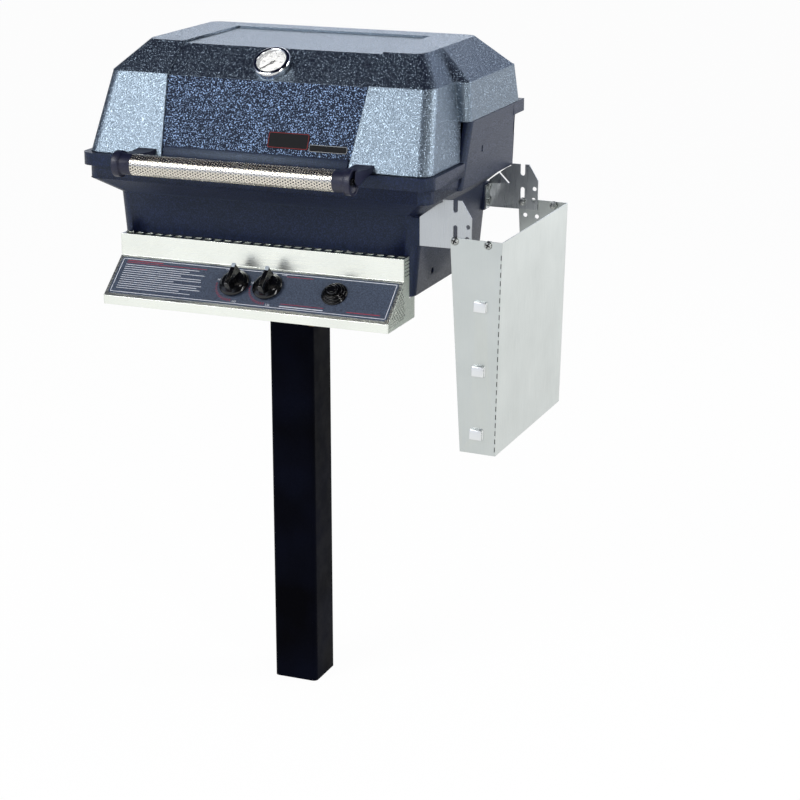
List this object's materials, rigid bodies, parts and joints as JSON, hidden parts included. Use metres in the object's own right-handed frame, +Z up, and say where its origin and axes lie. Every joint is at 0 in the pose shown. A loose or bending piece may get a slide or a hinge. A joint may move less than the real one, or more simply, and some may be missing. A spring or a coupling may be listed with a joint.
{
  "type": "park barbecue grill on a ground post",
  "caption": "Gas grill head with hinged lid, knobs, thermometer and fold-down side shelf, carried by a square post that is set in the ground, for parks and patios.",
  "frame": {"origin": "on the post's axis at ground level; the post reaches 457 mm below it", "axes": "+Z up along the post, -Y towards the cook, +X towards the side shelf"},
  "size_m": [0.7995, 0.5595, 1.6946],
  "materials": {
    "cast_black": "pebbled black powder coat on cast aluminium",
    "post_black": "smooth black powder coat on steel",
    "handle_black": "satin black paint",
    "stainless": "brushed",
    "fastener_steel": "plain",
    "chrome": "polished",
    "dial_white": "matte white enamel",
    "needle_black": "matte black",
    "clear_glass": "clear",
    "plate_silver": "satin, blank",
    "overlay_slate": "satin slate",
    "panel_black": "satin black",
    "knob_black": "gloss",
    "brass": "machined",
    "white_ceramic": "unglazed",
    "wire_black": "insulation",
    "grid_iron": "matte porcelain coat",
    "briquette_clay": "fired clay",
    "cup_aluminium": "foil"
  },
  "bodies": {
    "pedestal": {"firebox": "cast_black", "ground_post": "post_black", "head_bracket": "post_black", "control_panel": "stainless", "shelf_bracket_front": "stainless", "shelf_bracket_rear": "stainless", "warming_rack": "stainless", "burner_left": "stainless", "burner_right": "stainless", "post_screws": "fastener_steel", "head_bolts": "fastener_steel", "hinge_pins": "fastener_steel", "hinge_clips": "fastener_steel", "panel_screws": "fastener_steel", "bracket_screws": "fastener_steel", "manifold": "fastener_steel", "venturi_left": "fastener_steel", "venturi_right": "fastener_steel", "grease_hanger": "fastener_steel", "panel_overlay": "overlay_slate", "panel_end_left": "panel_black", "panel_end_right": "panel_black", "igniter_bezel": "knob_black", "igniter_body": "knob_black", "valve_left": "brass", "valve_right": "brass", "gas_inlet": "brass", "igniter_electrode": "white_ceramic", "igniter_wire": "wire_black", "briquette_grate": "grid_iron", "cooking_grid_left": "grid_iron", "cooking_grid_right": "grid_iron", "briquettes": "briquette_clay", "grease_cup": "cup_aluminium"},
    "lid": {"lid": "cast_black", "handle_tube": "stainless", "handle_rod": "fastener_steel", "handle_end_left": "handle_black", "handle_end_right": "handle_black", "handle_bolts": "fastener_steel", "thermometer_case": "chrome", "thermometer_dial": "dial_white", "thermometer_glass": "clear_glass", "thermometer_stem": "fastener_steel", "thermometer_nut": "fastener_steel", "lid_badge": "plate_silver", "lid_name_plate": "plate_silver"},
    "needle": {"thermometer_needle": "needle_black"},
    "push_left": {"spring_seat_left": "fastener_steel"},
    "push_right": {"spring_seat_right": "fastener_steel"},
    "knob_left": {"knob_left": "knob_black", "knob_pointer_left": "chrome", "valve_stem_left": "fastener_steel"},
    "knob_right": {"knob_right": "knob_black", "knob_pointer_right": "chrome", "valve_stem_right": "fastener_steel"},
    "igniter_button": {"igniter_button": "knob_black"},
    "shelf_carriage": {"pivot_screws": "fastener_steel"},
    "shelf": {"shelf_panel": "stainless", "lock_screws": "fastener_steel"}
  },
  "joints": [
    {"name": "lid_hinge", "type": "hinge", "parent": "pedestal", "child": "lid", "pos_m": [0, 0.258, 1.126], "axis": [-1, 0, 0], "range_deg": [0, 88]},
    {"name": "needle_turn", "type": "hinge", "parent": "lid", "child": "needle", "pos_m": [0, -0.10386, 1.21361], "axis": [0, 0.6114, -0.7913], "range_deg": [0, 270], "stiffness_Nm_per_rad": 0.002},
    {"name": "knob_left_push", "type": "slide", "parent": "pedestal", "child": "push_left", "axis": [0, 0.6402, -0.7682], "range_m": [0, 0.003], "stiffness_N_per_m": 1500, "springref_m": -0.003},
    {"name": "knob_left_turn", "type": "hinge", "parent": "push_left", "child": "knob_left", "pos_m": [-0.033, -0.20427, 0.82811], "axis": [0, -0.6402, 0.7682], "range_deg": [0, 180]},
    {"name": "knob_right_push", "type": "slide", "parent": "pedestal", "child": "push_right", "axis": [0, 0.6402, -0.7682], "range_m": [0, 0.003], "stiffness_N_per_m": 1500, "springref_m": -0.003},
    {"name": "knob_right_turn", "type": "hinge", "parent": "push_right", "child": "knob_right", "pos_m": [0.033, -0.20427, 0.82811], "axis": [0, -0.6402, 0.7682], "range_deg": [0, 180]},
    {"name": "igniter_push", "type": "slide", "parent": "pedestal", "child": "igniter_button", "axis": [0, 0.6402, -0.7682], "range_m": [0, 0.006], "stiffness_N_per_m": 800, "springref_m": -0.004},
    {"name": "shelf_lift", "type": "slide", "parent": "pedestal", "child": "shelf_carriage", "axis": [0, 0, 1], "range_m": [0, 0.02]},
    {"name": "shelf_fold", "type": "hinge", "parent": "shelf_carriage", "child": "shelf", "pos_m": [0.3654, 0, 0.93], "axis": [0, -1, 0], "range_deg": [0, 91.3]}
  ],
  "couplings": [
    {"joint": "shelf_lift", "follows": "shelf_fold", "m_per_rad": 0.01255}
  ]
}
